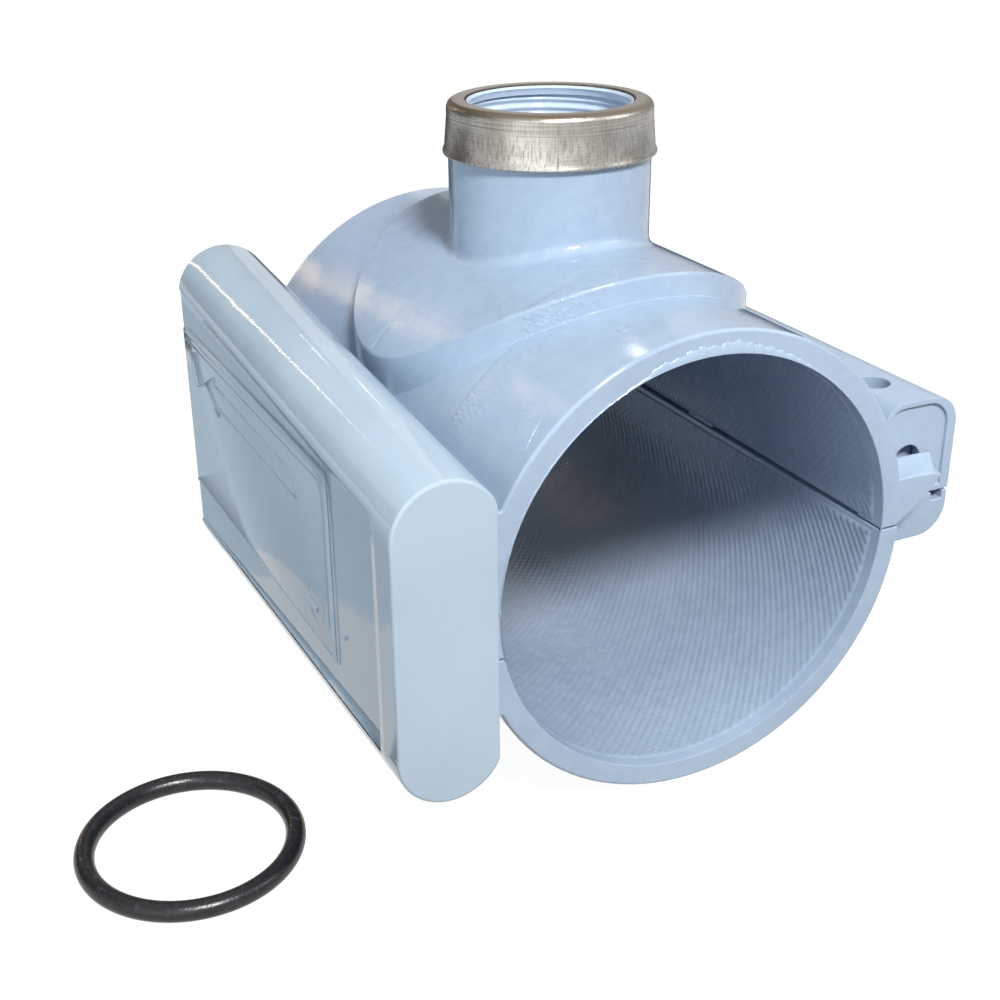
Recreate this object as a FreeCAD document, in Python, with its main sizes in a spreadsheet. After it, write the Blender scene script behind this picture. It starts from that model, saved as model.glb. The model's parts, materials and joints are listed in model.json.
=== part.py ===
"""Clamp-on saddle tee for a 4 inch pipe with a 1 1/2 inch threaded outlet.

Two half shells close round the pipe. A hinge joins them on the right, and a tapered channel that slides
over two rails draws them together on the left. The outlet neck carries a pressed steel collar, and a rubber
ring seals the branch hole.

Frame, in millimetres: origin at the middle of the pipe's axis, +Y along the pipe, +Z up the outlet's axis.
"""
import FreeCAD, Part
import math
import os
import re
from FreeCAD import Placement, Rotation, Vector
from Sketcher import Constraint

doc = FreeCAD.newDocument("saddle_tee")
sheet = doc.addObject("Spreadsheet::Sheet", "Sizes")

SIZES = [
    ("bore_radius", 57.15, "the pipe's outside radius"),
    ("shell_wall", 6.25, "wall of both half shells"),
    ("rim_bevel", 0.6, "bevel of the shells' outer end edges"),
    ("saddle_length", 169.0, "length of the saddle along the pipe"),
    ("seam_gap", 0.5, "gap between the two halves"),
    ("left_seam_drop", 11.4, "left seam, below the pipe's axis"),
    ("right_seam_drop", 1.5, "right seam, below the pipe's axis"),
    ("recess_height", 1.2, "height of the relieved stretches of the right seam"),
    ("recess_end_land", 10.0, "closed stretch of the right seam at each end"),
    ("recess_mid_land", 13.4, "closed stretch in the middle of the right seam"),
    ("recess_mid_place", 4.4, "the middle land's centre along the pipe"),
    ("pad_rise", 6.2, "step of the round pad above the shell"),
    ("pad_radius", 56.0, "the pad's outline about the outlet's axis"),
    ("pad_bevel", 0.5, "bevel of the pad's upper edge"),
    ("neck_radius", 28.0, "outside of the neck"),
    ("neck_fillet", 3.2, "fillet where the neck meets the pad"),
    ("outlet_height", 105.0, "top of the steel collar above the pipe's axis"),
    ("thread_radius", 23.9, "root radius of the outlet's pipe thread"),
    ("thread_length", 24.0, "threaded length below the neck's lip"),
    ("passage_radius", 20.5, "branch hole below the thread"),
    ("collar_sheet", 0.7, "sheet of the steel collar"),
    ("collar_depth", 14.1, "height of the steel collar"),
    ("collar_radius", 28.3, "outside of the collar under its shoulder"),
    ("collar_flare", 1.3, "how far the collar's skirt flares"),
    ("collar_shoulder", 2.2, "outer rounding of the collar's shoulder"),
    ("collar_opening_play", 0.1, "the collar's opening beyond the thread's root"),
    ("collar_fit", 0.05, "gap between the neck and the collar"),
    ("seal_radius", 26.2, "mean radius of the rubber ring"),
    ("seal_section", 2.69, "section radius of the rubber ring"),
    ("seal_play", 0.3, "play of the ring across its groove"),
    ("seal_squeeze", 1.5, "how far the fitted ring stands out of its groove"),
    ("seal_place_right", -130.3, "where the ring lies, to the right"),
    ("seal_place_ahead", -54.75, "where the ring lies, along the pipe"),
    ("cap_reach", 8.0, "how far the channel's cap stands before the saddle"),
    ("roll_overrun", 10.0, "how far the rolls' blanks run past their ends"),
    ("cap_wall", 4.0, "wall of the channel's cap"),
    ("cap_bevel", 0.5, "bevel of the cap's front edge"),
    ("channel_wall", 4.0, "wall of the channel"),
    ("rail_play", 0.3, "gap between the rails and the channel"),
    ("roll_radius_near", 14.0, "outer radius of the channel's rolls at the cap"),
    ("roll_radius_far", 14.8, "the same at the mouth"),
    ("roll_place_near", 74.0, "rolls' centre left of the pipe's axis, at the cap"),
    ("roll_place_far", 71.8, "the same at the mouth"),
    ("upper_roll_near", 28.8, "upper roll's centre above the pipe's axis, at the cap"),
    ("upper_roll_far", 38.4, "the same at the mouth"),
    ("lower_roll_near", 28.0, "lower roll's centre below the pipe's axis, at the cap"),
    ("lower_roll_far", 36.0, "the same at the mouth"),
    ("web_inset", 0.12, "the web's sides inside the rolls'"),
    ("channel_back_near", 61.4, "the channel's inner side left of the pipe's axis, at the cap"),
    ("channel_back_far", 56.6, "the same at the mouth"),
    ("field_place", 85.9, "the channel's sunk outer field left of the pipe's axis"),
    ("field_margin", 2.6, "how far the field reaches past the rolls' centres"),
    ("field_start", 11.5, "the field's near edge behind the cap's face"),
    ("field_cove", 4.0, "rounding round the field's foot"),
    ("rail_neck_play", 1.2, "gap under the channel's lips"),
    ("rail_core_depth", 13.0, "depth of the rails' cored pockets"),
    ("rail_rib", 5.0, "ribs between the rails' pockets"),
    ("hood_reach", 88.4, "outer side of the hinge hood"),
    ("hood_top", 29.5, "top of the hinge hood"),
    ("hood_inner", 64.4, "the hood's left flank"),
    ("hood_setback", 9.5, "the hinge behind the saddle's end faces"),
    ("hood_outer_round", 8.5, "rounding of the hood's outer upper edge"),
    ("hood_inner_round", 7.0, "rounding of the hood's inner upper edge"),
    ("hood_flank", 12.5, "height of the hood's left flank"),
    ("hood_lean", 3.4, "how far the flank's foot stands out"),
    ("hood_foot", 1.0, "underside of the hood above the pipe's axis"),
    ("hood_lip", 1.6, "rim round the hood's end wall"),
    ("hood_strip", 3.2, "outer strip beside the hood's end wall"),
    ("hood_inset", 1.0, "how far the end wall lies inside its rim"),
    ("hood_wall", 3.0, "wall of the hollow hood"),
    ("hood_hole_radius", 4.3, "hole in the hood's end wall"),
    ("hood_hole_place", 73.0, "that hole, right of the pipe's axis"),
    ("hood_hole_height", 12.0, "that hole, above the pipe's axis"),
    ("top_hole_radius", 4.8, "hole in the hood's top"),
    ("top_hole_place", 72.5, "that hole, right of the pipe's axis"),
    ("top_hole_ahead", -57.5, "that hole, along the pipe"),
    ("lobe_foot", 12.4, "underside of the lower half's hinge lobe"),
    ("lobe_round", 9.0, "rounding of the lobe's lower outer edge"),
    ("lobe_top", 0.5, "top of the lobe above the pipe's axis"),
    ("lobe_setback", 0.2, "the lobe's outer side behind the hood's"),
    ("lobe_slot_wall", 1.8, "wall outside the slot in the lobe's top"),
    ("lobe_slot_width", 3.8, "width of the slot in the lobe's top"),
    ("lobe_slot_depth", 2.5, "depth of the slot in the lobe's top"),
    ("tongue_place", 75.5, "centre of the hinge tongue"),
    ("tongue_play", 0.5, "gap between the tongue's ends and the hood's end walls"),
    ("tongue_thickness", 4.0, "thickness of the hinge tongue"),
    ("tongue_height", 13.0, "centre of the tongue's bead above the pipe's axis"),
    ("tongue_bead", 4.0, "radius of the tongue's bead"),
    ("ear_foot", 62.0, "where the near ear's underside leaves the seam"),
    ("ear_tip", 76.3, "the ear's tip at the saddle's end, right of the pipe's axis"),
    ("ear_tip_height", 11.0, "that tip, above the pipe's axis"),
    ("ear_lip", 2.6, "width of the ear's rounded tip"),
    ("ear_crown", 12.3, "the ear's top at the saddle's end, above the pipe's axis"),
    ("ear_spread", 6.9, "how much further right the tip lies at the hood"),
    ("ear_tip_sink", 2.4, "how much lower the tip lies at the hood"),
    ("ear_crown_rise", 2.9, "how much higher the top lies at the hood"),
    ("rail_pockets", 5, "pockets along each rail"),
    ("seal_sides", 10, "flats that stand for the ring's round section"),
]
for row, (alias, size, meaning) in enumerate(SIZES, start=1):
    sheet.set("A%d" % row, str(size))
    sheet.setAlias("A%d" % row, alias)
    sheet.set("B%d" % row, meaning)
doc.recompute()

ALIASES = {alias for alias, size, meaning in SIZES}
FAR_AWAY = 200.0    # reach of the cutting boxes, past everything


def on_sheet(text):
    """Turns plain size names into references to the sheet's cells."""
    return re.sub(r"[a-z_]+", lambda word: "Sizes." + word.group(0) if word.group(0) in ALIASES
                  else word.group(0), str(text))


def value(text):
    """The number that an expression on the sheet stands for now."""
    return float(sheet.evalExpression(on_sheet(text)))


def bind(item, **sizes):
    """Binds properties of an object, with dots written as double underscores, to the sheet."""
    for name, text in sizes.items():
        path = name.replace("__", ".")
        item.setExpression(path, on_sheet(text))


def place(item, x="0", y="0", z="0", turn=None):
    """Places an object at sheet sizes, turned as given."""
    item.Placement = Placement(Vector(value(x), value(y), value(z)), turn or Rotation())
    bind(item, Placement__Base__x=x, Placement__Base__y=y, Placement__Base__z=z)
    return item


ALONG_PIPE = Rotation(Vector(1, 0, 0), -90)     # turns a cylinder's axis from +Z to +Y
UPRIGHT = Rotation(Vector(1, 0, 0), 90)         # turns a sketch's plane to X right, Z up


def cylinder(name, radius, length, x="0", y="0", z="0", turn=None):
    item = doc.addObject("Part::Cylinder", name)
    bind(item, Radius=radius, Height=length)
    return place(item, x, y, z, turn)


def box(name, x_low, x_high, y_low, y_high, z_low, z_high):
    item = doc.addObject("Part::Box", name)
    bind(item, Length="(%s) - (%s)" % (x_high, x_low), Width="(%s) - (%s)" % (y_high, y_low),
         Height="(%s) - (%s)" % (z_high, z_low))
    return place(item, x_low, y_low, z_low)


def fuse(name, *shapes):
    item = doc.addObject("Part::MultiFuse", name)
    item.Shapes = list(shapes)
    return item


def common(name, *shapes):
    item = doc.addObject("Part::MultiCommon", name)
    item.Shapes = list(shapes)
    return item


def cut(name, base, tool):
    item = doc.addObject("Part::Cut", name)
    item.Base = base
    item.Tool = tool
    return item


def treated(kind, name, base, size, belongs):
    """Treats the edges whose every sampled point passes the test."""
    doc.recompute()
    chosen = []
    for number, edge in enumerate(base.Shape.Edges, start=1):
        first, last = edge.ParameterRange
        samples = [edge.valueAt(first + (last - first) * step / 6) for step in range(7)]
        if all(belongs(point) for point in samples):
            chosen.append((number, value(size), value(size)))
    if not chosen:
        raise RuntimeError("no edge found for " + name)
    item = doc.addObject(kind, name)
    item.Base = base
    item.Edges = chosen
    return item


def fillet(name, base, radius, belongs):
    return treated("Part::Fillet", name, base, radius, belongs)


def bevel(name, base, leg, belongs):
    return treated("Part::Chamfer", name, base, leg, belongs)


def pin(sketch, geometry, end, across, up):
    """Holds one point of a sketch at sheet sizes."""
    for kind, text in (("DistanceX", across), ("DistanceY", up)):
        number = sketch.addConstraint(Constraint(kind, -1, 1, geometry, end, value(text)))
        sketch.setExpression("Constraints[%d]" % number, on_sheet(text))


def upright_sketch(name, ahead):
    """A sketch across the pipe: X to the right, Y up, at a place along the pipe."""
    sketch = doc.addObject("Sketcher::SketchObject", name)
    return place(sketch, y=ahead, turn=UPRIGHT)


def outline(name, ahead, corners):
    """A closed outline of straight lines with its corners pinned to the sheet."""
    sketch = upright_sketch(name, ahead)
    points = [Vector(value(across), value(up), 0) for across, up in corners]
    for start, end in zip(points, points[1:] + points[:1]):
        sketch.addGeometry(Part.LineSegment(start, end))
    for number, (across, up) in enumerate(corners):
        before = (number - 1) % len(corners)
        sketch.addConstraint(Constraint("Coincident", before, 2, number, 1))
        pin(sketch, number, 1, across, up)
    return sketch


def extrusion(name, sketch, length):
    """Drives an upright sketch along the pipe."""
    item = doc.addObject("Part::Extrusion", name)
    item.Base = sketch
    item.DirMode = "Custom"
    item.Dir = Vector(0, 1, 0)
    item.Solid = True
    bind(item, LengthFwd=length)
    return item


def loft(name, near, far):
    item = doc.addObject("Part::Loft", name)
    item.Sections = [near, far]
    item.Solid = True
    item.Ruled = True
    return item


reach = "%g" % FAR_AWAY

# Both half shells

half_length = "saddle_length / 2"
shell_radius = "bore_radius + shell_wall"


def shell_region(name, side):
    """The space of one half: side is +1 for the upper half and -1 for the lower."""
    left = "-left_seam_drop %+g * seam_gap / 2" % side
    right = "-right_seam_drop %+g * seam_gap / 2" % side
    far = "%g" % (side * FAR_AWAY)
    low_left, high_left = (left, far) if side > 0 else (far, left)
    low_right, high_right = (right, far) if side > 0 else (far, right)
    return fuse(name,
                box(name + "_left", "-" + reach, "0", "-" + reach, reach, low_left, high_left),
                box(name + "_right", "0", reach, "-" + reach, reach, low_right, high_right))


def pipe_bore(name):
    return cylinder(name, "bore_radius", "saddle_length + 2", y="-%s - 1" % half_length, turn=ALONG_PIPE)


def bevelled_shell(name):
    """The whole outer cylinder with its end edges bevelled."""
    blank = cylinder(name + "_blank", shell_radius, "saddle_length", y="-" + half_length, turn=ALONG_PIPE)
    half = value(half_length)
    return bevel(name, blank, "rim_bevel",
                 lambda p: abs(abs(p.y) - half) < 0.01 and math.hypot(p.x, p.z) > value(shell_radius) - 0.01)


# The channel's sections, shared by the wedge and the rails: all taper along one line, from the
# cap's face to the mouth

cap_face = "-(%s) - cap_reach" % half_length
mouth = half_length


def along(near, far, ahead):
    """A size that changes evenly from the cap's face to the mouth."""
    share = "((%s) - (%s)) / (saddle_length + cap_reach)" % (ahead, cap_face)
    return "(%s) + ((%s) - (%s)) * %s" % (near, far, near, share)


def roll_centre(ahead):
    return "-(%s)" % along("roll_place_near", "roll_place_far", ahead)


def roll_radius(ahead, inset):
    return "%s - (%s)" % (along("roll_radius_near", "roll_radius_far", ahead), inset)


def upper_roll(ahead):
    return along("upper_roll_near", "upper_roll_far", ahead)


def lower_roll(ahead):
    return "-(%s)" % along("lower_roll_near", "lower_roll_far", ahead)


def back_side(ahead):
    return "-(%s)" % along("channel_back_near", "channel_back_far", ahead)


def taper(name, start, end, corners):
    """A solid between two outlines that a function gives for each end."""
    return loft(name, outline(name + "_near", start, corners(start)), outline(name + "_far", end, corners(end)))


def span(start, end, place):
    """How far a place across the pipe shifts between two stations."""
    return "(%s) - (%s)" % (place(end), place(start))


def roll(name, start, end, inset, height):
    """One of the channel's rolls: a cone round a sloping axis, set inwards by a distance."""
    item = doc.addObject("Part::Cone", name)
    rise, shift, run = span(start, end, height), span(start, end, roll_centre), "(%s) - (%s)" % (end, start)
    bind(item, Radius1=roll_radius(start, inset), Radius2=roll_radius(end, inset),
         Height="sqrt((%s)^2 + (%s)^2 + (%s)^2)" % (shift, run, rise))
    axis = Vector(value(shift), value(run), value(rise))
    return place(item, roll_centre(start), start, height(start), Rotation(Vector(0, 0, 1), axis))


def between_rolls(inset):
    """The web's outline at a station: from roll to roll, a hair narrower than they are."""
    def corners(ahead):
        half_width = "(%s - web_inset)" % roll_radius(ahead, inset)
        left = "%s - %s" % (roll_centre(ahead), half_width)
        right = "%s + %s" % (roll_centre(ahead), half_width)
        return [(left, lower_roll(ahead)), (right, lower_roll(ahead)),
                (right, upper_roll(ahead)), (left, upper_roll(ahead))]
    return corners


def roll_solid(name, start, end, inset):
    """The channel's outer form between two stations, set inwards by a distance."""
    before, after = "(%s) - roll_overrun" % start, "(%s) + roll_overrun" % end
    whole = fuse(name + "_whole", roll(name + "_upper", before, after, inset, upper_roll),
                 roll(name + "_lower", before, after, inset, lower_roll),
                 taper(name + "_web", before, after, between_rolls(inset)))
    return common(name, whole, box(name + "_ends", "-" + reach, "0", start, end, "-" + reach, reach))


# Locking wedge

cavity_start = "(%s) + cap_wall" % cap_face
past_mouth = "(%s) + 1" % mouth

def behind_back(ahead):
    """Everything right of the channel's inner side."""
    return [(back_side(ahead), "-" + reach), ("0", "-" + reach), ("0", reach), (back_side(ahead), reach)]


def lip_slot(ahead):
    """The way for the rails' necks between the channel's two lips."""
    return [(roll_centre(ahead), lower_roll(ahead)), ("0", lower_roll(ahead)),
            ("0", upper_roll(ahead)), (roll_centre(ahead), upper_roll(ahead))]


def outer_field(ahead):
    """The sunk field on the channel's outer side."""
    top = "%s + field_margin" % upper_roll(ahead)
    bottom = "%s - field_margin" % lower_roll(ahead)
    return [("-field_place", bottom), ("-field_place", top), ("-" + reach, top), ("-" + reach, bottom)]


field_near = "(%s) + field_start" % cap_face
channel_blank = roll_solid("channel_blank", cap_face, mouth, "0")
cap_front = value(cap_face)
channel_bevelled = bevel("channel_bevelled", channel_blank, "cap_bevel",
                         lambda p: abs(p.y - cap_front) < 0.01)
field_block = taper("field_block", field_near, "(%s) + 20" % mouth, outer_field)
foot = -value("field_place")
field_cutter = fillet("field_cutter", field_block, "field_cove",
                      lambda p: abs(p.x - foot) < 0.01 and p.y < value(mouth) + 19.9 or
                      abs(p.x - foot) < 0.01 and abs(p.y - value(field_near)) < 0.01)
cavity_web = box("cavity_web", "-field_place + channel_wall", "0", "-" + reach, reach, "-" + reach, reach)
cavity = common("cavity", roll_solid("cavity_rolls", cavity_start, past_mouth, "channel_wall"), cavity_web)
wedge_cuts = fuse("wedge_cuts", cavity,
                  taper("channel_slot", cavity_start, past_mouth, lip_slot),
                  taper("channel_back", "(%s) - 1" % cap_face, past_mouth, behind_back),
                  field_cutter)
locking_wedge = cut("locking_wedge", channel_bevelled, wedge_cuts)


# Rails, the parts of both halves that the channel draws together

rail_start = "-(%s)" % half_length


def rail_neck(side):
    """The rail's neck between the channel's lips: side is +1 for the upper half and -1 for the lower."""
    seam = "-left_seam_drop %+g * seam_gap / 2" % side

    def corners(ahead):
        edge = "%s - rail_neck_play" % upper_roll(ahead) if side > 0 else "%s + rail_neck_play" % lower_roll(ahead)
        return [(roll_centre(ahead), seam), ("-bore_radius * 0.8", seam), ("-bore_radius * 0.8", edge),
                (roll_centre(ahead), edge)]
    return corners


def rail(name, side, region):
    """One rail: the channel's inner form less its play, with cored pockets open to the outside."""
    inset = "channel_wall + rail_play"
    head = common(name + "_head", roll_solid(name + "_rolls", rail_start, mouth, inset),
                  box(name + "_web", "-field_place + channel_wall + rail_play", "0",
                      "-" + reach, reach, "-" + reach, reach))
    body = fuse(name + "_body", head, taper(name + "_neck", rail_start, mouth, rail_neck(side)))
    return common(name, body, region)


def rail_pocket(name, number, side):
    """One cored pocket of a rail, between two ribs."""
    pitch = "(saddle_length - rail_rib) / rail_pockets"
    start = "-(%s) + rail_rib + %d * %s" % (half_length, number, pitch)
    end = "%s + %s - rail_rib" % (start, pitch)
    seam = "-left_seam_drop + %g * (seam_gap / 2 + rail_rib)" % side
    roof = "%s" % upper_roll(start) if side > 0 else "%s" % lower_roll(start)
    low, high = (seam, roof) if side > 0 else (roof, seam)
    outer = "-field_place + channel_wall"
    return box(name, outer + " - 1", outer + " + rail_play + rail_core_depth", start, end, low, high)


# Upper half: shell, pad, neck, hood, ear and rail

lip_height = "outlet_height - collar_sheet"
skirt_height = "outlet_height - collar_depth"
pad_top = "bore_radius + shell_wall + pad_rise"

pad = common("pad", cylinder("pad_round", "pad_radius", "%s + 1" % pad_top, z="20"),
             cylinder("pad_crown", pad_top, "2 * pad_radius + 2", y="-pad_radius - 1", turn=ALONG_PIPE))
neck_stem = cylinder("neck_stem", "neck_radius", "%s - 50" % skirt_height, z="50")
spigot_radius = "collar_radius - collar_sheet - collar_fit"
spigot_blank = cylinder("spigot_blank", spigot_radius, "collar_depth - collar_sheet + 1",
                        z=skirt_height + " - 1")
lip = value(lip_height)
neck_spigot = bevel("neck_spigot", spigot_blank, "collar_shoulder",
                    lambda p: abs(p.z - lip) < 0.01 and math.hypot(p.x, p.y) > value(spigot_radius) - 0.01)
upper_body = fuse("upper_body", bevelled_shell("upper_shell"), pad, neck_stem, neck_spigot)


def on_circle(p, radius):
    return abs(math.hypot(p.x, p.y) - value(radius)) < 0.05


def on_crown(p):
    return abs(math.hypot(p.x, p.z) - value(pad_top)) < 0.05 and p.z > 0


neck_rounded = fillet("neck_rounded", upper_body, "neck_fillet",
                      lambda p: on_circle(p, "neck_radius") and on_crown(p))
pad_bevelled = bevel("pad_bevelled", neck_rounded, "pad_bevel",
                     lambda p: on_circle(p, "pad_radius") and on_crown(p))

hinge_half = "%s - hood_setback" % half_length
hinge_start = "-(%s)" % hinge_half
hinge_length = "2 * (%s)" % hinge_half
inside_shell = "bore_radius + shell_wall / 2"


def hood_outline(name, ahead, inset, strip):
    """The hood's section, set inwards by a rim and by a wider strip on the outer side."""
    return outline(name, ahead, [
        (inside_shell, "hood_foot + (%s)" % inset),
        ("hood_reach - (%s)" % strip, "hood_foot + (%s)" % inset),
        ("hood_reach - (%s)" % strip, "hood_top - (%s)" % inset),
        ("hood_inner + (%s)" % inset, "hood_top - (%s)" % inset),
        ("hood_inner - hood_lean + (%s)" % inset, "hood_top - hood_flank"),
        (inside_shell, "hood_top - hood_flank"),
    ])


def hood_block(name, ahead, length, inset, strip, outer_round, inner_round):
    """A length of the hood's section with its two upper edges rounded."""
    blank = extrusion(name + "_blank", hood_outline(name + "_outline", ahead, inset, strip), length)
    top = value("hood_top - (%s)" % inset)
    right = value("hood_reach - (%s)" % strip)
    left = value("hood_inner + (%s)" % inset)
    outer = fillet(name + "_outer", blank, outer_round,
                   lambda p: abs(p.z - top) < 0.01 and abs(p.x - right) < 0.01)
    return fillet(name, outer, inner_round, lambda p: abs(p.z - top) < 0.01 and abs(p.x - left) < 0.01)


hood = hood_block("hood", hinge_start, hinge_length, "0", "0", "hood_outer_round", "hood_inner_round")
hood_near_inset = hood_block("hood_near_inset", "%s - 1" % hinge_start, "1 + hood_inset", "hood_lip",
                             "hood_strip", "hood_outer_round - hood_lip", "hood_inner_round - hood_lip")
hood_far_inset = hood_block("hood_far_inset", "%s - hood_inset" % hinge_half, "1 + hood_inset", "hood_lip",
                            "hood_strip", "hood_outer_round - hood_lip", "hood_inner_round - hood_lip")
hollow_near = "%s + hood_inset + hood_wall" % hinge_start
hood_hollow = box("hood_hollow", "hood_inner + hood_wall", "hood_reach - hood_wall", hollow_near,
                  "-(%s)" % hollow_near, "hood_foot - 1", "hood_top - 2 * hood_wall")


def ear_outline(name, ahead, tip, tip_height, crown):
    """The ear's section: a sloping underside, a rounded tip and a nearly level top."""
    underside = "ear_foot + (%s - ear_foot)" % tip
    return outline(name, ahead, [
        (inside_shell, "-right_seam_drop + seam_gap / 2"), ("ear_foot", "-right_seam_drop + seam_gap / 2"),
        (underside + " * 0.25", "(%s) * 0.08" % tip_height), (underside + " * 0.62", "(%s) * 0.42" % tip_height),
        (tip, tip_height), ("(%s) - ear_lip" % tip, "(%s) - ear_lip / 8" % crown),
        ("(%s) - 3 * ear_lip" % tip, crown), (inside_shell, crown),
    ])


near_end = "-(%s)" % half_length
ear_back = "%s + hood_inset + 0.5" % hinge_start
near_ear = loft("near_ear",
                ear_outline("near_ear_front", near_end, "ear_tip", "ear_tip_height", "ear_crown"),
                ear_outline("near_ear_back", ear_back, "ear_tip + ear_spread",
                            "ear_tip_height - ear_tip_sink", "ear_crown + ear_crown_rise"))
upper_blank = common("upper_blank",
                     fuse("upper_parts", pad_bevelled, hood, near_ear), shell_region("upper_region", 1))
upper_rail = rail("upper_rail", 1, shell_region("upper_rail_region", 1))


def seal_groove():
    """The ring's groove round the branch hole: as deep everywhere below the curved bore."""
    outer = cylinder("groove_outer", "seal_radius + seal_section + seal_play", "80", z="20")
    inner = cylinder("groove_inner", "seal_radius - seal_section - seal_play", "82", z="19")
    floor = cylinder("groove_floor", "bore_radius + 2 * seal_section - seal_squeeze", "4 * seal_radius",
                     y="-2 * seal_radius", turn=ALONG_PIPE)
    return common("seal_groove", cut("groove_ring", outer, inner), floor)


def seam_recess(name, start, end):
    """A relieved stretch of the upper half's right land."""
    seam = "-right_seam_drop"
    return box(name, "bore_radius * 0.9", "bore_radius + shell_wall + 0.2", start, end,
               seam + " - 1", seam + " + recess_height")


recess_low = "-(%s) + recess_end_land" % half_length
upper_cuts = fuse("upper_cuts", pipe_bore("upper_bore"), seal_groove(),
                  cylinder("thread_bore", "thread_radius", "thread_length + 5",
                           z="%s - thread_length" % lip_height),
                  cylinder("passage", "passage_radius", "%s - 20" % lip_height, z="20"),
                  seam_recess("near_recess", recess_low, "recess_mid_place - recess_mid_land / 2"),
                  seam_recess("far_recess", "recess_mid_place + recess_mid_land / 2", "-(%s)" % recess_low),
                  hood_near_inset, hood_far_inset, hood_hollow,
                  cylinder("end_hole", "hood_hole_radius", "hood_setback", x="hood_hole_place",
                           y="%s - 0.1" % hinge_start, z="hood_hole_height", turn=ALONG_PIPE),
                  cylinder("top_hole", "top_hole_radius", "hood_top", x="top_hole_place",
                           y="top_hole_ahead", z="hood_top - 3 * hood_wall"),
                  *[rail_pocket("upper_pocket_%d" % (n + 1), n, 1) for n in range(int(value("rail_pockets")))])
upper_saddle = cut("upper_saddle", fuse("upper_whole", upper_blank, upper_rail), upper_cuts)


# Lower half: shell, hinge lobe, tongue and rail

lower_shell = common("lower_shell_half", bevelled_shell("lower_shell"), shell_region("lower_region", -1))
lobe_side = "hood_reach - lobe_setback"
lobe_blank = box("lobe_blank", inside_shell, lobe_side, hinge_start, hinge_half, "-lobe_foot", "lobe_top")
lobe_rounded = fillet("lobe_rounded", lobe_blank, "lobe_round",
                      lambda p: abs(p.x - value(lobe_side)) < 0.01 and abs(p.z + value("lobe_foot")) < 0.01)
seam_room = box("seam_room", "0", "bore_radius + shell_wall + 0.2", "-" + reach, reach,
                "-right_seam_drop - seam_gap / 2", reach)
lobe_slot = box("lobe_slot", lobe_side + " - lobe_slot_wall - lobe_slot_width",
                lobe_side + " - lobe_slot_wall", "-" + reach, reach, "lobe_top - lobe_slot_depth", reach)
lobe = cut("lobe", lobe_rounded, fuse("lobe_cuts", seam_room, lobe_slot))
tongue_start = "%s + tongue_play" % hollow_near
tongue_length = "-2 * (%s)" % tongue_start
tongue = fuse("tongue",
              box("tongue_plate", "tongue_place - tongue_thickness / 2", "tongue_place + tongue_thickness / 2",
                  tongue_start, "-(%s)" % tongue_start, "-lobe_top", "tongue_height"),
              cylinder("tongue_round", "tongue_bead", tongue_length, x="tongue_place", y=tongue_start,
                       z="tongue_height", turn=ALONG_PIPE))
lower_rail = rail("lower_rail", -1, shell_region("lower_rail_region", -1))
lower_cuts = fuse("lower_cuts", pipe_bore("lower_bore"),
                  *[rail_pocket("lower_pocket_%d" % (n + 1), n, -1) for n in range(int(value("rail_pockets")))])
lower_saddle = cut("lower_saddle", fuse("lower_whole", lower_shell, lobe, tongue, lower_rail), lower_cuts)


# Steel collar, one folded sheet turned round the outlet's axis

def body_sketch(body, name):
    """A sketch on the body's own upright plane: X outwards, Y up."""
    sketch = body.newObject("Sketcher::SketchObject", name)
    plane = [item for item in body.Origin.OriginFeatures if item.Role == "XZ_Plane"][0]
    sketch.AttachmentSupport = [(plane, "")]
    sketch.MapMode = "FlatFace"
    return sketch


collar_body = doc.addObject("PartDesign::Body", "reinforcing_collar")
collar_profile = body_sketch(collar_body, "collar_profile")
def collar_bend(radius, *turns):
    """Corners of the shoulder's bend at a radius, in flats between the given turns, in degrees."""
    centre_across, centre_up = "collar_radius - collar_shoulder", "outlet_height - collar_shoulder"
    return [("%s + (%s) * sin(%d)" % (centre_across, radius, turn),
             "%s + (%s) * cos(%d)" % (centre_up, radius, turn)) for turn in turns]


opening = "thread_radius + collar_opening_play"
collar_corners = [
    (opening, "outlet_height"),
    *collar_bend("collar_shoulder", 0, 30, 60, 90),
    ("collar_radius + collar_flare", skirt_height),
    ("collar_radius + collar_flare - collar_sheet", skirt_height),
    *collar_bend("collar_shoulder - collar_sheet", 90, 0),
    (opening, lip_height),
]
profile_points = [Vector(value(across), value(up), 0) for across, up in collar_corners]
for start, end in zip(profile_points, profile_points[1:] + profile_points[:1]):
    collar_profile.addGeometry(Part.LineSegment(start, end))
for number, (across, up) in enumerate(collar_corners):
    collar_profile.addConstraint(Constraint("Coincident", (number - 1) % len(collar_corners), 2, number, 1))
    pin(collar_profile, number, 1, across, up)
collar_turned = collar_body.newObject("PartDesign::Revolution", "collar_turned")
collar_turned.Profile = collar_profile
collar_turned.ReferenceAxis = (collar_profile, ["V_Axis"])
collar_turned.Angle = 360


# Rubber ring, lying on the surface beside the saddle

ring_section = doc.addObject("Part::RegularPolygon", "ring_section")
bind(ring_section, Polygon="seal_sides", Circumradius="seal_section")
place(ring_section, x="seal_radius", turn=UPRIGHT)
o_ring = doc.addObject("Part::Revolution", "o_ring")
o_ring.Source = ring_section
o_ring.Axis = Vector(0, 0, 1)
o_ring.Angle = 360
o_ring.Solid = True
place(o_ring, "seal_place_right", "seal_place_ahead", "-(%s) + seal_section" % shell_radius)


# Checks and files

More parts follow.
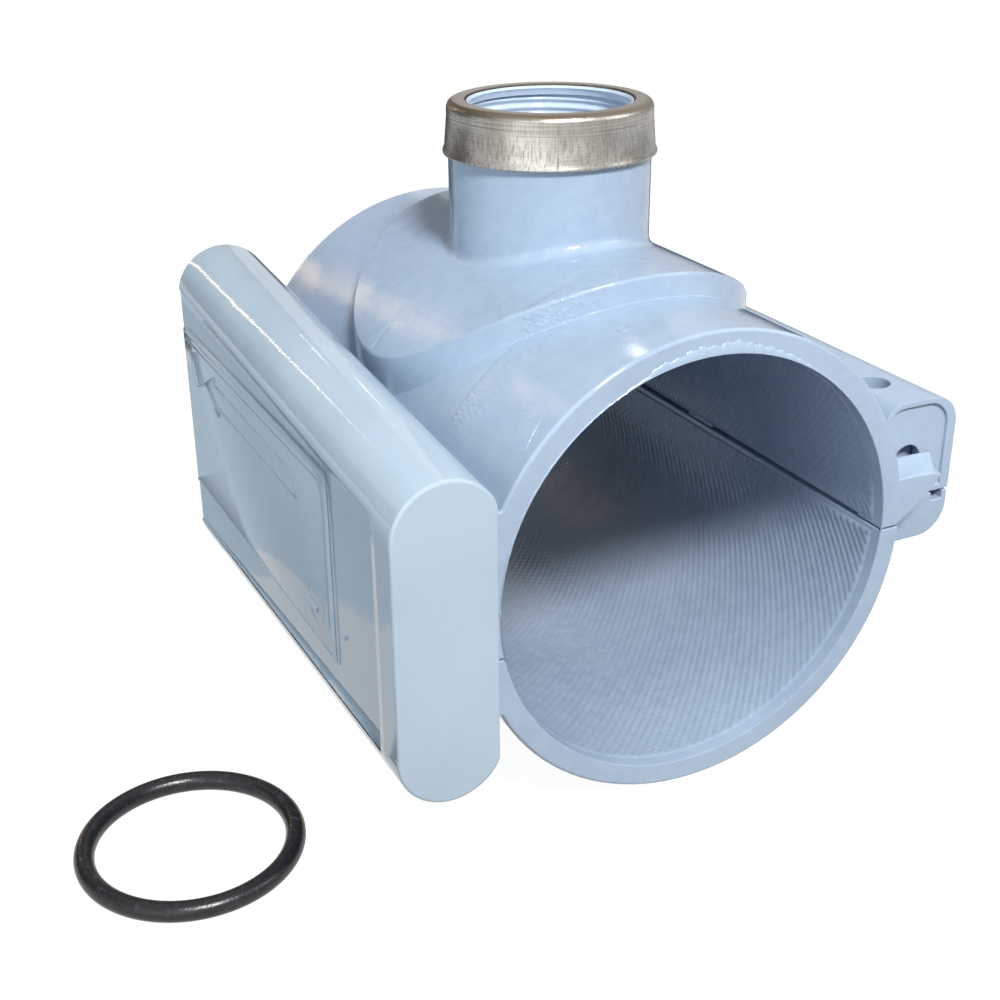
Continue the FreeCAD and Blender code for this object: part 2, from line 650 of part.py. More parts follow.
PIECES = {
    "upper_saddle": upper_saddle,
    "lower_saddle": lower_saddle,
    "locking_wedge": locking_wedge,
    "reinforcing_collar": collar_body,
    "o_ring": o_ring,
}
doc.recompute()
for item in doc.Objects:
    if "Invalid" in item.State or "Error" in item.State:
        raise RuntimeError("%s failed: %s" % (item.Name, item.State))
os.makedirs("parts", exist_ok=True)
for label, item in PIECES.items():
    item.Label = label
    shape = item.Shape
    if shape.isNull() or not shape.isValid():
        raise RuntimeError(label + " has no valid shape")
    if len(shape.Solids) != 1:
        raise RuntimeError("%s has %d solids" % (label, len(shape.Solids)))
    shape.exportStep("parts/%s.step" % label)
    print("%-20s %9.1f mm3" % (label, shape.Volume))
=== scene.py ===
"""Finish of a clamp-on saddle tee: moulded plastic halves and wedge, steel collar and rubber ring.

Metres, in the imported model's frame: origin on the pipe's axis, +Y along the pipe, +Z up the outlet.
"""
import json
import math
import bpy
from mathutils import Matrix, Vector

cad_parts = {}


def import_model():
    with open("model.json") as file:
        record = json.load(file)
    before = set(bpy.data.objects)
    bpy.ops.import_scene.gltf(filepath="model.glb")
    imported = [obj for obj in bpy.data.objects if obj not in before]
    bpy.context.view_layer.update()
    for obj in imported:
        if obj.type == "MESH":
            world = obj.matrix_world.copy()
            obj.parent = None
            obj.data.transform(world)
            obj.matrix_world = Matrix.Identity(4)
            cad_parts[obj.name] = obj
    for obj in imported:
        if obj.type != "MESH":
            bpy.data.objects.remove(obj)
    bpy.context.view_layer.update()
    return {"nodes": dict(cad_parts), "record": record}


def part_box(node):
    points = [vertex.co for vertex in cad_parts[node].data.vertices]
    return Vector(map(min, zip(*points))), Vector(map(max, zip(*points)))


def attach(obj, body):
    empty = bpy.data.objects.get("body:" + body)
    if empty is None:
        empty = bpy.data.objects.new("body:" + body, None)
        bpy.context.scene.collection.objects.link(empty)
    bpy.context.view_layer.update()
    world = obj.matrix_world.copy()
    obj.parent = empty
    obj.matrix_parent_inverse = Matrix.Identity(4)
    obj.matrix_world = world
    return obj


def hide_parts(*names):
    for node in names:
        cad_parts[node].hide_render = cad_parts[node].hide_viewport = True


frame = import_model()

MM = 0.001

# Sizes, in millimetres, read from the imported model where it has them

mounts = {mount["name"]: mount for mount in frame["record"]["mounts"]}
BORE_RADIUS = mounts["run_bore"]["dims"]["r_mm"]
SADDLE_LENGTH = mounts["run_bore"]["dims"]["length_mm"]
THREAD_ROOT = mounts["outlet"]["dims"]["r_mm"]
COLLAR_LOW, COLLAR_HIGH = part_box("reinforcing_collar")
COLLAR_FOOT = COLLAR_LOW[2] / MM
OUTLET_TOP = COLLAR_HIGH[2] / MM
COLLAR_REACH = COLLAR_HIGH[0] / MM
WEDGE_LOW, WEDGE_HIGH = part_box("locking_wedge")
CAP_FACE = WEDGE_LOW[1] / MM
MOUTH = WEDGE_HIGH[1] / MM
RING_LOW, RING_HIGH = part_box("o_ring")
FLOOR = RING_LOW[2] / MM
NEAR_FACE = -SADDLE_LENGTH / 2
LEFT_SEAM, RIGHT_SEAM = -11.4, -1.5              # heights of the seams between the halves
FIELD_PLACE = -85.9                              # the wedge's flat outer field


# Modelling by hand, in code

MERGED = 0.001                                   # points nearer than this are one
MERGED_TURNED = 0.002


def deselect():
    bpy.ops.object.select_all(action="DESELECT")


def activate(piece):
    deselect()
    piece.select_set(True)
    bpy.context.view_layer.objects.active = piece
    return piece


def settle(piece):
    """Puts a piece's place into its mesh."""
    activate(piece)
    bpy.ops.object.transform_apply(location=True, rotation=True, scale=True)
    return piece


def named(name):
    """Names what was just made."""
    piece = bpy.context.active_object
    piece.name = name
    piece.data.name = name
    return piece


def modify(piece, kind, **settings):
    """Adds a modifier and applies it."""
    activate(piece)
    modifier = piece.modifiers.new(kind.lower(), kind)
    for key, setting in settings.items():
        setattr(modifier, key, setting)
    bpy.ops.object.modifier_apply(modifier=modifier.name)
    return piece


def smooth(piece, crease):
    """Shades a piece smooth, apart from its edges that turn by more than crease, in degrees."""
    activate(piece)
    bpy.ops.object.shade_smooth_by_angle(angle=math.radians(crease))
    return piece


def edit(piece):
    activate(piece)
    bpy.ops.object.mode_set(mode="EDIT")
    bpy.ops.mesh.select_all(action="SELECT")


def leave():
    bpy.ops.object.mode_set(mode="OBJECT")


def face_out(piece, inside=False):
    """Points all faces outwards, or inwards where the piece is seen from its inside."""
    edit(piece)
    bpy.ops.mesh.normals_make_consistent(inside=inside)
    leave()
    return piece


def finished(piece, body, finish):
    """Gives a piece its material and its body."""
    piece.data.materials.clear()
    piece.data.materials.append(finish)
    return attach(piece, body)


def line_mesh(name, points, closed):
    """A wire through points in millimetres, to be turned or screwed."""
    mesh = bpy.data.meshes.new(name)
    count = len(points)
    edges = [(n, n + 1) for n in range(count - 1)] + ([(count - 1, 0)] if closed else [])
    mesh.from_pydata([Vector(point) * MM for point in points], edges, [])
    piece = bpy.data.objects.new(name, mesh)
    bpy.context.collection.objects.link(piece)
    return piece


def turned(name, profile, steps=160):
    """A closed profile of (radius, height) pairs turned round the outlet's axis."""
    piece = line_mesh(name, [(radius, 0, height) for radius, height in profile], True)
    modify(piece, "SCREW", axis="Z", steps=steps, render_steps=steps, use_merge_vertices=True,
           merge_threshold=MERGED * MM)
    edit(piece)
    bpy.ops.mesh.remove_doubles(threshold=MERGED_TURNED * MM)
    leave()
    return face_out(piece)


def arc(centre, radius, start, end, steps):
    """Points of a round corner, with angles in degrees."""
    turns = [math.radians(start + (end - start) * n / steps) for n in range(steps + 1)]
    return [(centre[0] + radius * math.cos(turn), centre[1] + radius * math.sin(turn)) for turn in turns]


def sheet(name, across, along, place):
    """A grid of points, each put in its place by a rule of its shares across and along."""
    bpy.ops.mesh.primitive_grid_add(x_subdivisions=across, y_subdivisions=along, size=2)
    piece = named(name)
    for vertex in piece.data.vertices:
        column, row = vertex.index % (across + 1), vertex.index // (across + 1)
        vertex.co = Vector(place(column / across, row / along)) * MM
    return piece


def between(points, where):
    """The height at a place of a line through (place, height) points."""
    for (start, low), (end, high) in zip(points, points[1:]):
        if start <= where <= end:
            return low + (high - low) * (where - start) / (end - start)
    return 0.0


def bead(name, points, width, closed=False):
    """A half-sunk round bead along a path, as one mesh."""
    curve = bpy.data.curves.new(name, "CURVE")
    curve.dimensions = "3D"
    curve.bevel_depth = width / 2 * MM
    curve.bevel_resolution = 3
    curve.use_fill_caps = not closed
    spline = curve.splines.new("POLY")
    spline.points.add(len(points) - 1)
    for point, place in zip(spline.points, points):
        point.co = (*(Vector(place) * MM), 1)
    spline.use_cyclic_u = closed
    piece = bpy.data.objects.new(name, curve)
    bpy.context.collection.objects.link(piece)
    activate(piece)
    bpy.ops.object.convert(target="MESH")
    return smooth(named(name), crease=50)


# Shader formulas

class Value:
    """A socket in a tree of nodes, so that a pattern can be written as a formula."""

    def __init__(self, nodes, socket):
        self.nodes = nodes
        self.socket = socket

    def math(self, operation, first, second):
        return self.nodes.node("ShaderNodeMath", {"operation": operation}, {0: first, 1: second})

    def __add__(self, other):
        return self.math("ADD", self, other)

    def __sub__(self, other):
        return self.math("SUBTRACT", self, other)

    def __rsub__(self, other):
        return self.math("SUBTRACT", other, self)

    def __mul__(self, other):
        return self.math("MULTIPLY", self, other)

    def __truediv__(self, other):
        return self.math("DIVIDE", self, other)

    __radd__ = __add__
    __rmul__ = __mul__

    def most(self, other):
        return self.math("MAXIMUM", self, other)

    def ramp(self, low, high):
        """Rises smoothly from 0 at low to 1 at high."""
        return self.nodes.node("ShaderNodeMapRange", {"interpolation_type": "SMOOTHSTEP"},
                               {"Value": self, "From Min": low, "From Max": high})


class Nodes:
    """The nodes of a material or of the world."""

    def __init__(self, owner):
        owner.use_nodes = True
        self.tree = owner.node_tree

    def node(self, kind, settings, inputs, output=0):
        """Any node: its settings are set first, then the values or links of its inputs."""
        item = self.tree.nodes.new(kind)
        for key, setting in settings.items():
            setattr(item, key, setting)
        for key, given in inputs.items():
            if isinstance(given, Value):
                self.tree.links.new(given.socket, item.inputs[key])
            else:
                item.inputs[key].default_value = given
        return Value(self, item.outputs[output]) if item.outputs else None

    def seen_by(self, ray):
        """1 for a kind of ray, such as Is Camera Ray, and 0 for the rest."""
        return self.node("ShaderNodeLightPath", {}, {}, ray)

    def blend(self, share, first, second):
        """A shader between two shaders."""
        return self.node("ShaderNodeMixShader", {}, {0: share, 1: first, 2: second})


class Finish(Nodes):
    """One material with its Principled shader."""

    def __init__(self, name, **settings):
        self.material = bpy.data.materials.new(name)
        super().__init__(self.material)
        self.shader = self.tree.nodes["Principled BSDF"]
        for socket, setting in settings.items():
            self.shader.inputs[socket.replace("_", " ")].default_value = setting
        self.place = self.node("ShaderNodeTexCoord", {}, {}, "Object")

    def axis(self, letter):
        """A place along X, Y or Z, in millimetres."""
        return self.node("ShaderNodeSeparateXYZ", {}, {0: self.place}, letter) / MM

    def noise(self, scale, detail=2.0, roughness=0.5, stretch=(1.0, 1.0, 1.0)):
        """Noise with its scale in waves to the millimetre."""
        spread = self.node("ShaderNodeMapping", {}, {"Vector": self.place, "Scale": stretch})
        return self.node("ShaderNodeTexNoise", {}, {"Vector": spread, "Scale": scale / MM,
                                                    "Detail": detail, "Roughness": roughness})

    def mix(self, share, first, second):
        """A colour between two colours."""
        return self.node("ShaderNodeMix", {"data_type": "RGBA"}, {0: share, 6: first, 7: second}, 2)

    def feed(self, socket, given):
        self.tree.links.new(given.socket, self.shader.inputs[socket])

    def relief(self, height):
        """Relief of a height pattern in millimetres."""
        self.feed("Normal", self.node("ShaderNodeBump", {}, {"Height": height, "Strength": 1.0,
                                                             "Distance": MM}))


def linear(red, green, blue):
    """A colour as it looks on a screen, as the shader wants it."""
    shares = [((c / 255 + 0.055) / 1.055) ** 2.4 if c > 10 else c / 3295 for c in (red, green, blue)]
    return (*shares, 1.0)


# Materials, with each colour as it looks on a screen and each relief in millimetres

PLASTIC_IOR = 1.5
SHELL_SHADES = linear(154, 172, 193), linear(163, 181, 201)
WEDGE_SHADES = linear(167, 184, 197), linear(175, 192, 204)
# the knurl's plastic, a little darker than the shells': painted shade inside the bore
KNURL_PAINTED_SHADE_TONES = linear(147, 164, 184), linear(155, 172, 191)
# the thread's plastic, lighter than the shells': painted light inside the outlet
THREAD_PAINTED_LIGHT_TONES = linear(196, 212, 230), linear(202, 218, 235)
MOTTLE_SHADE = linear(176, 193, 209)
STEEL_SHADES = linear(178, 174, 166), linear(210, 208, 202)
BRUSHED_SHADE = linear(92, 87, 79)
RUBBED_SHADE = linear(104, 99, 91)
# brown for the collar's top: a painted reflection of a brown backdrop
TOP_PAINTED_REFLECTION_SHADE = linear(134, 120, 98)
RUBBER_SHADES = linear(20, 20, 23), linear(58, 60, 68)

SKIN_HEIGHT, PEEL_HEIGHT, RIPPLE_HEIGHT, SINK_HEIGHT = 0.02, 0.1, 0.4, 0.14
RIPPLES_NEAR = (-60.0, -52.0)                    # where the ripples rise, along the pipe
RIPPLES_FAR = (-47.0, -45.0)                     # and where they end, before the pad
RIPPLES_RIGHT = (-22.0, -4.0)
RIPPLES_LOW = (30.0, 40.0)

BROW_NEAR, BROW_FAR = 30.5, 39.0                 # height of the cove under the roll, at cap and mouth
COVE_PLACE = -80.9                               # the cove beside the cap
COVE_WIDTH = 5.0
COVE_DEPTH = 0.9
FIELD_REACH = (FIELD_PLACE + 3, FIELD_PLACE + 6)
WEDGE_PEEL_HEIGHT, WEDGE_SINK_HEIGHT = 0.016, 0.15

# where the brown painted reflection covers the collar's top
PAINTED_REFLECTION_START = (-1.5, -0.5)                       # the collar's top, under the outlet's top
BRUSHED_START = (-7.5, -4.5)                     # the part of its side that is brushed most
BRUSHED_DEPTH, RUBBED_DEPTH = 0.035, 0.04


def plastic_base(finish, shades):
    """Flow clouds and a faint mottle between two shades, and the mottle's share of the roughness."""
    clouds = finish.noise(0.018, detail=3.0)
    mottle = finish.noise(0.25, detail=4.0, roughness=0.6)
    base = finish.mix(clouds.ramp(0.35, 0.65), *shades)
    finish.feed("Base Color", finish.mix(mottle.ramp(0.3, 0.7) * 0.3, base, MOTTLE_SHADE))
    finish.feed("Roughness", 0.03 + 0.07 * mottle)


def shell_plastic():
    """Blue grey PVC of the shells: orange peel in patches, flow ripples beside the pad, soft sink marks."""
    finish = Finish("shell_plastic", IOR=PLASTIC_IOR)
    plastic_base(finish, SHELL_SHADES)
    skin = finish.noise(2.2, detail=1.0)
    peel = finish.noise(0.85, roughness=0.55) * finish.noise(0.045).ramp(0.4, 0.62)
    sinks = finish.noise(0.05)
    ahead = finish.axis("Y")
    beside_pad = ahead.ramp(*RIPPLES_NEAR) * (1 - ahead.ramp(*RIPPLES_FAR))
    on_left = 1 - finish.axis("X").ramp(*RIPPLES_RIGHT)
    outside = finish.axis("Z").ramp(*RIPPLES_LOW)
    ripples = finish.noise(0.8, roughness=0.6, stretch=(1.0, 0.4, 1.0)) * beside_pad * on_left * outside
    finish.relief(skin * SKIN_HEIGHT + peel * PEEL_HEIGHT + ripples * RIPPLE_HEIGHT + sinks * SINK_HEIGHT)
    return finish.material


def wedge_plastic():
    """Grey green PVC of the wedge, whose outer field is sunk below the roll and the cap."""
    finish = Finish("wedge_plastic", IOR=PLASTIC_IOR)
    plastic_base(finish, WEDGE_SHADES)
    ahead = finish.axis("Y")
    brow = BROW_NEAR + (BROW_FAR - BROW_NEAR) / (MOUTH - CAP_FACE) * (ahead - CAP_FACE)
    below_roll = (brow - finish.axis("Z")).ramp(-COVE_WIDTH / 2, COVE_WIDTH / 2)
    past_cap = (ahead - COVE_PLACE).ramp(-COVE_WIDTH / 2, COVE_WIDTH / 2)
    on_field = 1 - finish.axis("X").ramp(*FIELD_REACH)
    peel = finish.noise(0.7)
    sinks = finish.noise(0.04)
    finish.relief(peel * WEDGE_PEEL_HEIGHT + sinks * WEDGE_SINK_HEIGHT
                  - below_roll * past_cap * on_field * COVE_DEPTH)
    return finish.material


def plain_plastic(name, shine, shades):
    """The shells' plastic without relief, for forms that have their own."""
    finish = Finish(name, IOR=PLASTIC_IOR, Specular_IOR_Level=shine)
    plastic_base(finish, shades)
    return finish.material


def pressed_steel():
    """Stainless sheet: brush lines round it, rubbed lines down it, and a brown painted reflection on top."""
    finish = Finish("pressed_steel", Metallic=1.0)
    brushed = finish.noise(0.03, detail=5.0, roughness=0.75, stretch=(1.0, 1.0, 110.0))
    rubbed = finish.noise(2.8, detail=3.0, roughness=0.7, stretch=(1.0, 1.0, 0.05))
    patches = finish.noise(0.09, detail=3.0)
    below_top = finish.axis("Z") - OUTLET_TOP
    upper = below_top.ramp(*BRUSHED_START)
    tone = finish.mix(patches.ramp(0.3, 0.7), *STEEL_SHADES)
    tone = finish.mix(brushed.ramp(0.46, 0.66) * (0.15 + 0.45 * upper), tone, BRUSHED_SHADE)
    tone = finish.mix(rubbed.ramp(0.46, 0.62) * (0.55 - 0.25 * upper), tone, RUBBED_SHADE)
    # the top is tinted brown: a painted reflection
    finish.feed("Base Color", finish.mix(below_top.ramp(*PAINTED_REFLECTION_START) * 0.8, tone, TOP_PAINTED_REFLECTION_SHADE))
    finish.feed("Roughness", 0.2 + 0.16 * brushed)
    finish.relief(brushed * BRUSHED_DEPTH + rubbed * RUBBED_DEPTH)
    return finish.material


def black_rubber():
    """Moulded rubber with a worn sheen and fine scuffs."""
    finish = Finish("black_rubber", IOR=PLASTIC_IOR)
    scuffs = finish.noise(0.5, detail=5.0, roughness=0.7)
    grain = finish.noise(2.5, detail=3.0, roughness=0.6)
    finish.feed("Base Color", finish.mix(scuffs.ramp(0.5, 0.8), *RUBBER_SHADES))
    finish.feed("Roughness", 0.14 + 0.26 * grain)
    finish.relief(scuffs * 0.05 + grain * 0.04)
    return finish.material


SHELL = shell_plastic()
WEDGE = wedge_plastic()
# the same plastic as the shells, with painted shade for the bore's inside
KNURLED_PAINTED_SHADE = plain_plastic("knurled_plastic_painted_shade", 0.4, KNURL_PAINTED_SHADE_TONES)
# the same plastic as the shells, with painted light for the outlet's inside
THREAD = plain_plastic("thread_plastic_painted_light", 0.5, THREAD_PAINTED_LIGHT_TONES)
STEEL = pressed_steel()
RUBBER = black_rubber()


# The moulded pieces keep their solids' form, with their sharp edges softened

FLAT_ANGLE = 0.2                                 # faces that differ by less are one, in degrees
EDGE_ANGLE = 34.0                                # edges that turn by more are rounded, in degrees
SHELL_EDGE, WEDGE_EDGE = 0.35, 0.4               # width of the rounded edges


def softened(node, body, edge_width, finish):
    """A copy of a solid's mesh with its sharp edges rounded and its round faces shaded smooth."""
    piece = bpy.data.objects.new(node + "_finish", frame["nodes"][node].data.copy())
    bpy.context.collection.objects.link(piece)
    edit(piece)
    bpy.ops.mesh.remove_doubles(threshold=MERGED * MM)
    bpy.ops.mesh.dissolve_limited(angle_limit=math.radians(FLAT_ANGLE))
    leave()
    modify(piece, "BEVEL", width=edge_width * MM, segments=2, limit_method="ANGLE",
           angle_limit=math.radians(EDGE_ANGLE), use_clamp_overlap=False, harden_normals=False)
    smooth(piece, crease=32)
    modify(piece, "WEIGHTED_NORMAL", keep_sharp=True, weight=80)
    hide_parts(node)
    return finished(piece, body, finish)


softened("upper_saddle", "saddle", SHELL_EDGE, SHELL)
softened("lower_saddle", "saddle", SHELL_EDGE, SHELL)
softened("locking_wedge", "wedge", WEDGE_EDGE, WEDGE)


# Steel collar: a pressed sheet with a rounded shoulder and a flared skirt

COLLAR_SIDE = 28.3                               # radius of its upright side
SHEET = 0.7
SHOULDER = 2.2
OPENING = 23.2
CREASE_DROP = 5.0                                # from its top to the crease where its skirt starts
SKIRT_STEP = 0.1                                 # the skirt stands out by this much under the crease
FLARED_EDGE = COLLAR_REACH - 0.02
FOOT_ROUND = [(0.55, 1.7), (0.15, 0.85), (0.0, 0.35), (0.1, 0.02)]   # (in from the edge, up from the foot)
FOOT_BAND = 1.2                                  # height of the foot that the press has pinched
PINCHED_START, PINCHED_END = -91.0, -50.0        # the pinched stretch, in degrees from +X
PINCHES = 92                                     # pinches in a whole turn
PINCH_RISE = 0.32
FOOT_WOBBLE = 0.0025                             # share by which the foot is out of round
SEAM_TURN = math.radians(-113.6)                 # where the sheet's ends are welded
WELD_WIDTH, WELD_END_WIDTH = 0.36, 0.7


def collar_profile():
    """The sheet's section: its outside from the opening down, and its inside from the foot up."""
    crease = OUTLET_TOP - CREASE_DROP
    bend = (COLLAR_SIDE - SHOULDER, OUTLET_TOP - SHOULDER)
    outer = [(OPENING + 0.25, OUTLET_TOP)] + arc(bend, SHOULDER, 90, 0, 8)
    outer += [(COLLAR_SIDE + 0.02, crease + 0.3), (COLLAR_SIDE + SKIRT_STEP, crease - 0.3)]
    outer += [(FLARED_EDGE - inwards, COLLAR_FOOT + up) for inwards, up in FOOT_ROUND]
    inner = [(FLARED_EDGE - SHEET, COLLAR_FOOT + 0.05), (COLLAR_SIDE + 0.08 - SHEET, crease)]
    inner += arc(bend, SHOULDER - SHEET, 0, 90, 6)
    inner += [(OPENING + 0.2, OUTLET_TOP - SHEET), (OPENING, OUTLET_TOP - SHEET + 0.15),
              (OPENING, OUTLET_TOP - 0.2)]
    return outer + inner


def collar():
    piece = turned("collar_finish", collar_profile(), 320)
    for vertex in piece.data.vertices:
        turn = math.degrees(math.atan2(vertex.co.y, vertex.co.x))
        share = min(max((COLLAR_FOOT + FOOT_BAND - vertex.co.z / MM) / FOOT_BAND, 0), 1)
        if PINCHED_START < turn < PINCHED_END:
            vertex.co.z += PINCH_RISE * MM * share * max(math.cos(math.radians(turn) * PINCHES), 0)
        waves = 1 + math.sin(math.radians(3 * turn + 40)) * math.sin(math.radians(7 * turn))
        vertex.co.x *= 1 - FOOT_WOBBLE * share * waves
        vertex.co.y *= 1 - FOOT_WOBBLE * share * waves
    smooth(piece, crease=25)
    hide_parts("reinforcing_collar")
    return finished(piece, "saddle", STEEL)


def weld_bead(name, points, width):
    """A bead down the collar's side through (radius, height) points."""
    side = Vector((math.cos(SEAM_TURN), math.sin(SEAM_TURN), 0))
    path = [side * radius + Vector((0, 0, height)) for radius, height in points]
    return finished(bead(name, path, width), "saddle", STEEL)


def weld_seam():
    """The butt weld down the collar's side, ground almost flush, with a nick at its foot."""
    weld_bead("collar_weld", [(COLLAR_SIDE - 0.12, OUTLET_TOP - 2.6),
                              (COLLAR_SIDE - 0.06, OUTLET_TOP - CREASE_DROP),
                              (FLARED_EDGE - 0.62, COLLAR_FOOT + 1.7),
                              (FLARED_EDGE - 0.2, COLLAR_FOOT + 0.4)], WELD_WIDTH)
    weld_bead("collar_weld_end", [(FLARED_EDGE - 0.5, COLLAR_FOOT + 1.5),
                                  (FLARED_EDGE - 0.22, COLLAR_FOOT + 0.6)], WELD_END_WIDTH)


collar()
weld_seam()


# Pipe thread and lip inside the outlet

THREAD_PITCH = 2.309
THREAD_CREST = 23.3                              # radius of its crests
THREAD_SINK = 0.05                               # its roots behind the outlet's wall
THREAD_TOP = OUTLET_TOP - 2.7
THREAD_FOOT = OUTLET_TOP - 24.4
PROFILE_STEPS = 12                               # steps of one pitch's round profile
SPARE_TURNS = 2                                  # turns past each end, cut away level
LIP_TOP = OUTLET_TOP - 0.45
LIP_FOOT = LIP_TOP - 2.5
LIP_OUTSIDE = 22.7
LIP_INSIDE = 21.9


def outlet_thread():
    """One pitch of the thread's profile, screwed down the outlet and cut level at both ends."""
    root = THREAD_ROOT - THREAD_SINK
    start = THREAD_FOOT - SPARE_TURNS * THREAD_PITCH
    profile = []
    for n in range(PROFILE_STEPS + 1):
        share = n / PROFILE_STEPS
        height = 0.5 * (root - THREAD_CREST) * (1 - math.cos(2 * math.pi * share))
        profile.append((root - height, 0, start + share * THREAD_PITCH))
    piece = line_mesh("outlet_thread", profile, False)
    turns = math.ceil((THREAD_TOP - THREAD_FOOT) / THREAD_PITCH) + 2 * SPARE_TURNS
    modify(piece, "SCREW", axis="Z", steps=128, render_steps=128, screw_offset=THREAD_PITCH * MM,
           iterations=turns, use_merge_vertices=True, merge_threshold=MERGED * MM)
    for level, above in ((THREAD_TOP, True), (THREAD_FOOT, False)):
        edit(piece)
        bpy.ops.mesh.remove_doubles(threshold=MERGED * MM)
        bpy.ops.mesh.select_all(action="SELECT")
        bpy.ops.mesh.bisect(plane_co=(0, 0, level * MM), plane_no=(0, 0, 1), clear_outer=above,
                            clear_inner=not above)
        leave()
    face_out(piece, inside=True)
    return finished(smooth(piece, crease=35), "saddle", THREAD)


def outlet_lip():
    """The moulded lip that shows inside the steel's opening, with its chamfer and a gap behind it."""
    profile = [(THREAD_ROOT - 0.02, LIP_FOOT), (LIP_OUTSIDE + 0.15, LIP_FOOT + 0.3), (LIP_OUTSIDE, LIP_TOP),
               (LIP_OUTSIDE - 0.25, LIP_TOP), (LIP_INSIDE, LIP_TOP - 0.65),
               (LIP_INSIDE + 0.25, LIP_TOP - 1.0), (LIP_INSIDE + 0.5, LIP_TOP - 1.5),
               (LIP_INSIDE + 0.7, LIP_FOOT)]
    piece = turned("outlet_lip", profile)
    return finished(smooth(piece, crease=40), "saddle", THREAD)


outlet_thread()
outlet_lip()


# Fine knurl that grips the pipe

KNURL_PITCH = 1.46                               # from each dot to the next gap, along the bore and round it
KNURL_DEPTH = 0.62
KNURL_START = 3.5                                # plain band at each end of the bore
KNURL_LIFT = 0.05                                # the knurl's feet inside the bore's face
BRANCH_CLEAR = 30.0                              # radius round the outlet's axis that stays plain
SEAM_RIGHT_TURN = math.asin(RIGHT_SEAM / BORE_RADIUS)
SEAM_LEFT_TURN = math.pi - math.asin(LEFT_SEAM / BORE_RADIUS)
SEAM_MARGIN = math.radians(1.6)                  # plain strip beside each seam


def bore_point(turn, ahead, lift):
    """A point of the bore's face: turn in radians from +X, up over +Z."""
    radius = BORE_RADIUS - lift
    return radius * math.cos(turn), ahead, radius * math.sin(turn)


def knurl(name, start, end):
    """A sheet of round dots over the bore between two turns, open where the branch passes."""
    length = SADDLE_LENGTH - 2 * KNURL_START
    rows = round(length / KNURL_PITCH)
    columns = round(BORE_RADIUS * (end - start) / KNURL_PITCH)

    def dots(across, along):
        height = 0.5 - 0.5 * math.cos(math.pi * across * columns) * math.cos(math.pi * along * rows)
        edge = min(across * columns, (1 - across) * columns, along * rows, (1 - along) * rows, 0.5) * 2
        return bore_point(start + (end - start) * across, length * (along - 0.5),
                          KNURL_LIFT + KNURL_DEPTH * height * edge)

    piece = sheet(name, 2 * columns, 2 * rows, dots)
    for part in (*piece.data.polygons, *piece.data.edges):
        part.select = False
    for vertex in piece.data.vertices:
        vertex.select = vertex.co.z > 0 and math.hypot(vertex.co.x, vertex.co.y) < BRANCH_CLEAR * MM
    activate(piece)
    bpy.ops.object.mode_set(mode="EDIT")
    bpy.ops.mesh.select_mode(type="VERT")
    bpy.ops.mesh.delete(type="VERT")
    leave()
    face_out(piece, inside=True)
    return finished(smooth(piece, crease=60), "saddle", KNURLED_PAINTED_SHADE)


knurl("upper_knurl", SEAM_RIGHT_TURN + SEAM_MARGIN, SEAM_LEFT_TURN - SEAM_MARGIN)
knurl("lower_knurl", SEAM_LEFT_TURN + SEAM_MARGIN - 2 * math.pi, SEAM_RIGHT_TURN - SEAM_MARGIN)


# Raised panel, arrow and marks on the wedge's outer field, placed along the pipe and up

PANEL_FOOT, PANEL_HEAD = -24.0, 28.4
PANEL_NEAR, PANEL_FAR = -46.4, MOUTH - 0.2
PANEL_RISE = 0.3
PANEL_CORNER = 0.7
BEAD_WIDTH = 2.1                                 # the bead along the panel's upper and near edges
OUTER_GAP = 1.9                                  # from that bead to the fine one outside it
FINE_WIDTH = 1.0
RIDGE_WIDTH = 1.1
LINE_WIDTH = 0.45
LINE_INSET = 3.4                                 # the fine line inside the panel's edges
LINE_CORNER = 5.0
ARROW_TAIL, ARROW_NECK, ARROW_TIP = -23.0, 52.5, 62.5
ARROW_LOW, ARROW_HIGH, ARROW_MIDDLE = 12.4, 19.0, 16.7


def raised(name, path, width, out=0.25, closed=False):
    """A round ridge through (ahead, up) points, out past the field or by a point's own third value."""
    points = [(-(*point, out)[2] + FIELD_PLACE, point[0], point[1]) for point in path]
    return finished(bead(name, points, width, closed), "wedge", WEDGE)


def panel():
    """The slightly raised plate, the beads along its edges and the fine line inside them."""
    bpy.ops.mesh.primitive_cube_add(size=1)
    plate = named("wedge_panel")
    plate.dimensions = (2 * PANEL_RISE * MM, (PANEL_FAR - PANEL_NEAR) * MM, (PANEL_HEAD - PANEL_FOOT) * MM)
    plate.location = Vector((FIELD_PLACE, (PANEL_FAR + PANEL_NEAR) / 2, (PANEL_HEAD + PANEL_FOOT) / 2)) * MM
    settle(plate)
    modify(plate, "BEVEL", width=0.25 * MM, segments=2, limit_method="ANGLE")
    finished(smooth(plate, crease=40), "wedge", WEDGE)
    beside = PANEL_NEAR - OUTER_GAP
    raised("wedge_panel_bead", [(PANEL_FAR, PANEL_HEAD, -1.2), (PANEL_FAR - 5, PANEL_HEAD),
                                (PANEL_NEAR + PANEL_CORNER, PANEL_HEAD),
                                (PANEL_NEAR, PANEL_HEAD - PANEL_CORNER), (PANEL_NEAR, PANEL_FOOT)],
           BEAD_WIDTH, 0.1)
    raised("wedge_panel_outer_bead", [(beside, PANEL_HEAD - 1.4), (beside, PANEL_FOOT)], FINE_WIDTH, 0.0)
    raised("wedge_panel_foot", [(PANEL_FAR, PANEL_FOOT), (PANEL_NEAR, PANEL_FOOT)], FINE_WIDTH, 0.0)
    inset = LINE_INSET + LINE_CORNER
    bend = arc((PANEL_NEAR + inset, PANEL_HEAD - inset), LINE_CORNER, 90, 180, 8)
    raised("wedge_panel_line", [(PANEL_FAR, PANEL_HEAD - LINE_INSET)] + bend
           + [(PANEL_NEAR + LINE_INSET, PANEL_FOOT + 8.0)], LINE_WIDTH)


